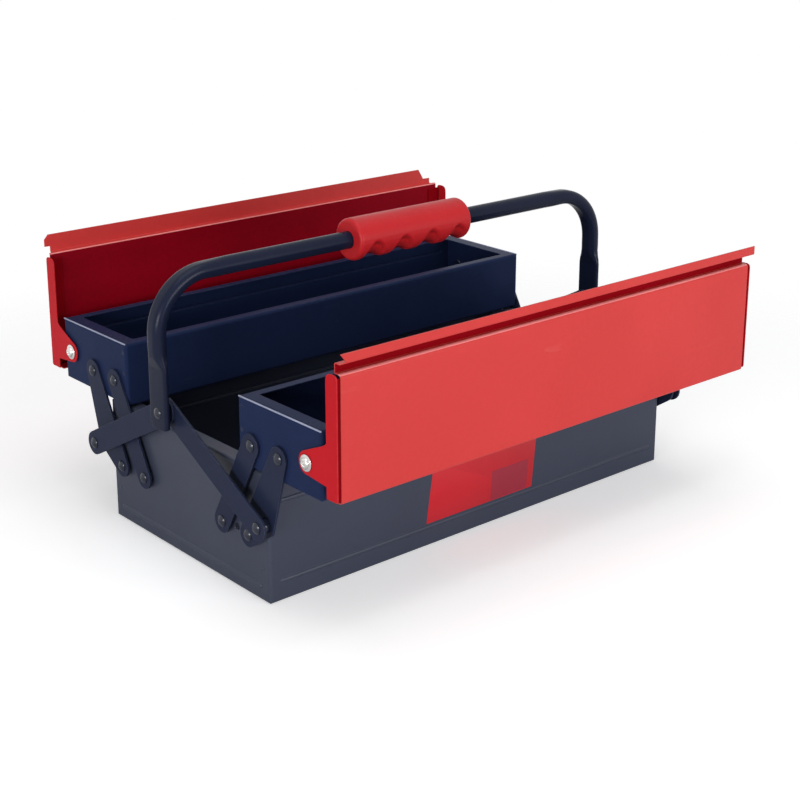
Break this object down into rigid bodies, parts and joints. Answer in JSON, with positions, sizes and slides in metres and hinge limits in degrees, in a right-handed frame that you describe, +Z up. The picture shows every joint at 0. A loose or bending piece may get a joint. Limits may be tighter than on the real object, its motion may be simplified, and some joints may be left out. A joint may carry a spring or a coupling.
{
  "type": "cantilever tool box",
  "caption": "Cantilever tool box of painted sheet steel: deep base, trays that swing out on links, hinged lids, and a bar handle with a moulded grip.",
  "frame": {"origin": "middle of the underside of the base", "axes": "+X along the length to the right end, -Y to the front, +Z up"},
  "size_m": [0.474, 0.3828, 0.2405],
  "materials": {
    "box_paint": "satin",
    "tray_paint": "satin",
    "link_paint": "satin",
    "bar_paint": "gloss",
    "rivet_paint": "satin",
    "lid_paint": "satin",
    "bright_rivet": "polished",
    "grip_plastic": "semi-gloss"
  },
  "bodies": {
    "base": {"base_box": "box_paint", "base_pivots_left": "rivet_paint", "base_pivots_right": "rivet_paint"},
    "rear_cranks": {"rear_crank_left": "link_paint", "rear_crank_right": "link_paint", "rear_crank_pin_left": "rivet_paint", "rear_crank_pin_right": "rivet_paint"},
    "rear_links": {"rear_link_left": "link_paint", "rear_link_right": "link_paint"},
    "rear_tray": {"rear_tray": "tray_paint", "rear_tray_pivots_left": "rivet_paint", "rear_tray_pivots_right": "rivet_paint", "rear_lid_rivet_left": "bright_rivet", "rear_lid_rivet_right": "bright_rivet"},
    "rear_lid": {"rear_lid": "lid_paint"},
    "rear_couplers": {"rear_coupler_left": "link_paint", "rear_coupler_right": "link_paint"},
    "front_cranks": {"front_crank_left": "link_paint", "front_crank_right": "link_paint", "front_crank_pin_left": "rivet_paint", "front_crank_pin_right": "rivet_paint"},
    "front_links": {"front_link_left": "link_paint", "front_link_right": "link_paint"},
    "front_tray": {"front_tray": "tray_paint", "front_tray_pivots_left": "rivet_paint", "front_tray_pivots_right": "rivet_paint", "front_lid_rivet_left": "bright_rivet", "front_lid_rivet_right": "bright_rivet"},
    "front_lid": {"front_lid": "lid_paint"},
    "front_couplers": {"front_coupler_left": "link_paint", "front_coupler_right": "link_paint"},
    "handle": {"handle_bar": "bar_paint", "handle_grip": "grip_plastic", "handle_pin_left": "rivet_paint", "handle_pin_right": "rivet_paint"}
  },
  "joints": [
    {"name": "rear_crank_swing", "type": "hinge", "parent": "base", "child": "rear_cranks", "pos_m": [0, 0.0853, 0.0495], "axis": [1, 0, 0], "range_deg": [0, 55.5]},
    {"name": "rear_link_swing", "type": "hinge", "parent": "base", "child": "rear_links", "pos_m": [0, 0.053, 0.0495], "axis": [1, 0, 0], "range_deg": [0, 55.6]},
    {"name": "rear_tray_level", "type": "hinge", "parent": "rear_cranks", "child": "rear_tray", "pos_m": [0, 0.12348, 0.11923], "axis": [1, 0, 0], "range_deg": [-55.6, 0]},
    {"name": "rear_lid_hinge", "type": "hinge", "parent": "rear_tray", "child": "rear_lid", "pos_m": [0, 0.15592, 0.1268], "axis": [1, 0, 0], "range_deg": [0, 90]},
    {"name": "rear_coupler_turn", "type": "hinge", "parent": "rear_cranks", "child": "rear_couplers", "pos_m": [0, 0.10794, 0.06494], "axis": [1, 0, 0], "range_deg": [-73.2, 0]},
    {"name": "front_crank_swing", "type": "hinge", "parent": "base", "child": "front_cranks", "pos_m": [0, -0.0853, 0.0495], "axis": [-1, 0, 0], "range_deg": [0, 55.6]},
    {"name": "front_link_swing", "type": "hinge", "parent": "base", "child": "front_links", "pos_m": [0, -0.053, 0.0495], "axis": [-1, 0, 0], "range_deg": [0, 55.6]},
    {"name": "front_tray_level", "type": "hinge", "parent": "front_cranks", "child": "front_tray", "pos_m": [0, -0.12348, 0.11923], "axis": [-1, 0, 0], "range_deg": [-55.6, 0]},
    {"name": "front_lid_hinge", "type": "hinge", "parent": "front_tray", "child": "front_lid", "pos_m": [0, -0.15592, 0.1268], "axis": [-1, 0, 0], "range_deg": [0, 90]},
    {"name": "front_coupler_turn", "type": "hinge", "parent": "front_cranks", "child": "front_couplers", "pos_m": [0, -0.10794, 0.06494], "axis": [-1, 0, 0], "range_deg": [-73.2, 0]},
    {"name": "handle_level", "type": "hinge", "parent": "rear_couplers", "child": "handle", "pos_m": [0, 0, 0.12202], "axis": [1, 0, 0], "range_deg": [0, 17.6]}
  ],
  "couplings": [
    {"joint": "front_crank_swing", "follows": "rear_crank_swing", "ratio": 1},
    {"joint": "rear_link_swing", "follows": "rear_crank_swing", "ratio": 1},
    {"joint": "front_link_swing", "follows": "rear_crank_swing", "ratio": 1},
    {"joint": "rear_tray_level", "follows": "rear_crank_swing", "ratio": -1},
    {"joint": "front_tray_level", "follows": "rear_crank_swing", "ratio": -1},
    {"joint": "rear_coupler_turn", "follows": "rear_crank_swing", "ratio": -1.3162},
    {"joint": "front_coupler_turn", "follows": "rear_crank_swing", "ratio": -1.3162},
    {"joint": "handle_level", "follows": "rear_crank_swing", "ratio": 0.3162}
  ]
}
